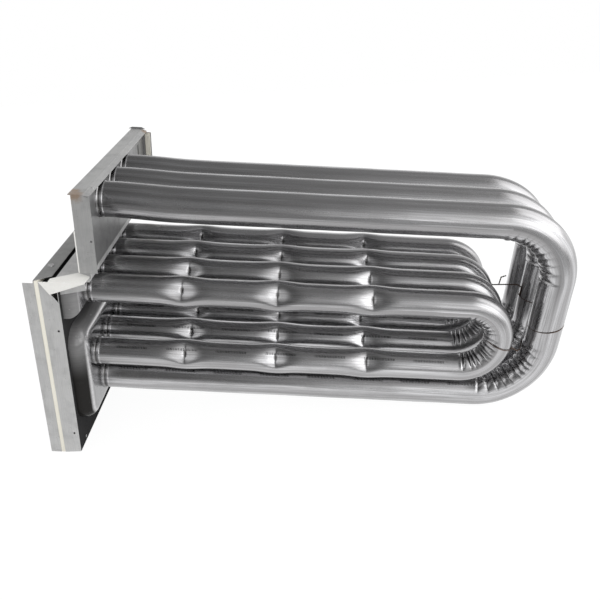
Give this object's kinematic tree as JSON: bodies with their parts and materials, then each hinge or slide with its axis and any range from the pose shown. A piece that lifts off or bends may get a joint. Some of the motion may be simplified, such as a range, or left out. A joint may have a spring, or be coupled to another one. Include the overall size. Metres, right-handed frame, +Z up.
{
  "type": "tubular heat exchanger",
  "caption": "Tubular gas furnace heat exchanger: large return-bend burner tubes over dimpled U tubes, seated in pressed steel header boxes and flanged panels",
  "frame": {"origin": "centre of the screw pattern round the flue outlet, on the outer face of the rear cover", "axes": "X runs along the tubes from the header boxes to the bends, Z is up, Y runs across the tube rows"},
  "size_m": [0.892, 0.406, 0.4815],
  "materials": {
    "panel_steel": "matt aluminised sheet",
    "drawn_steel": "satin deep-drawn aluminised sheet",
    "tube_steel": "satin aluminised tube, drawn grain along its length",
    "fastener_steel": "plain bright steel",
    "cream_gasket": "matt ceramic fibre",
    "white_fibre": "matt ceramic fibre",
    "dark_wire": "dark annealed wire"
  },
  "bodies": {
    "root": {"rear_cover": "panel_steel", "cover_gasket": "cream_gasket", "header_panel": "panel_steel", "chamber_baffle": "panel_steel", "outlet_box": "drawn_steel", "return_box": "drawn_steel", "top_strip": "panel_steel", "strip_rivet": "fastener_steel", "step_sheet": "panel_steel", "step_gasket": "white_fibre", "burner_panel": "panel_steel", "edge_gasket": "white_fibre", "lip_gasket": "cream_gasket", "lip_screw": "fastener_steel", "cover_screws": "fastener_steel", "burner_tube_1": "tube_steel", "burner_tube_2": "tube_steel", "burner_tube_3": "tube_steel", "dimpled_tube_1": "tube_steel", "dimpled_tube_2": "tube_steel", "dimpled_tube_3": "tube_steel", "dimpled_tube_4": "tube_steel", "tie_wire_front": "dark_wire", "tie_wire_rear": "dark_wire"}
  },
  "joints": []
}
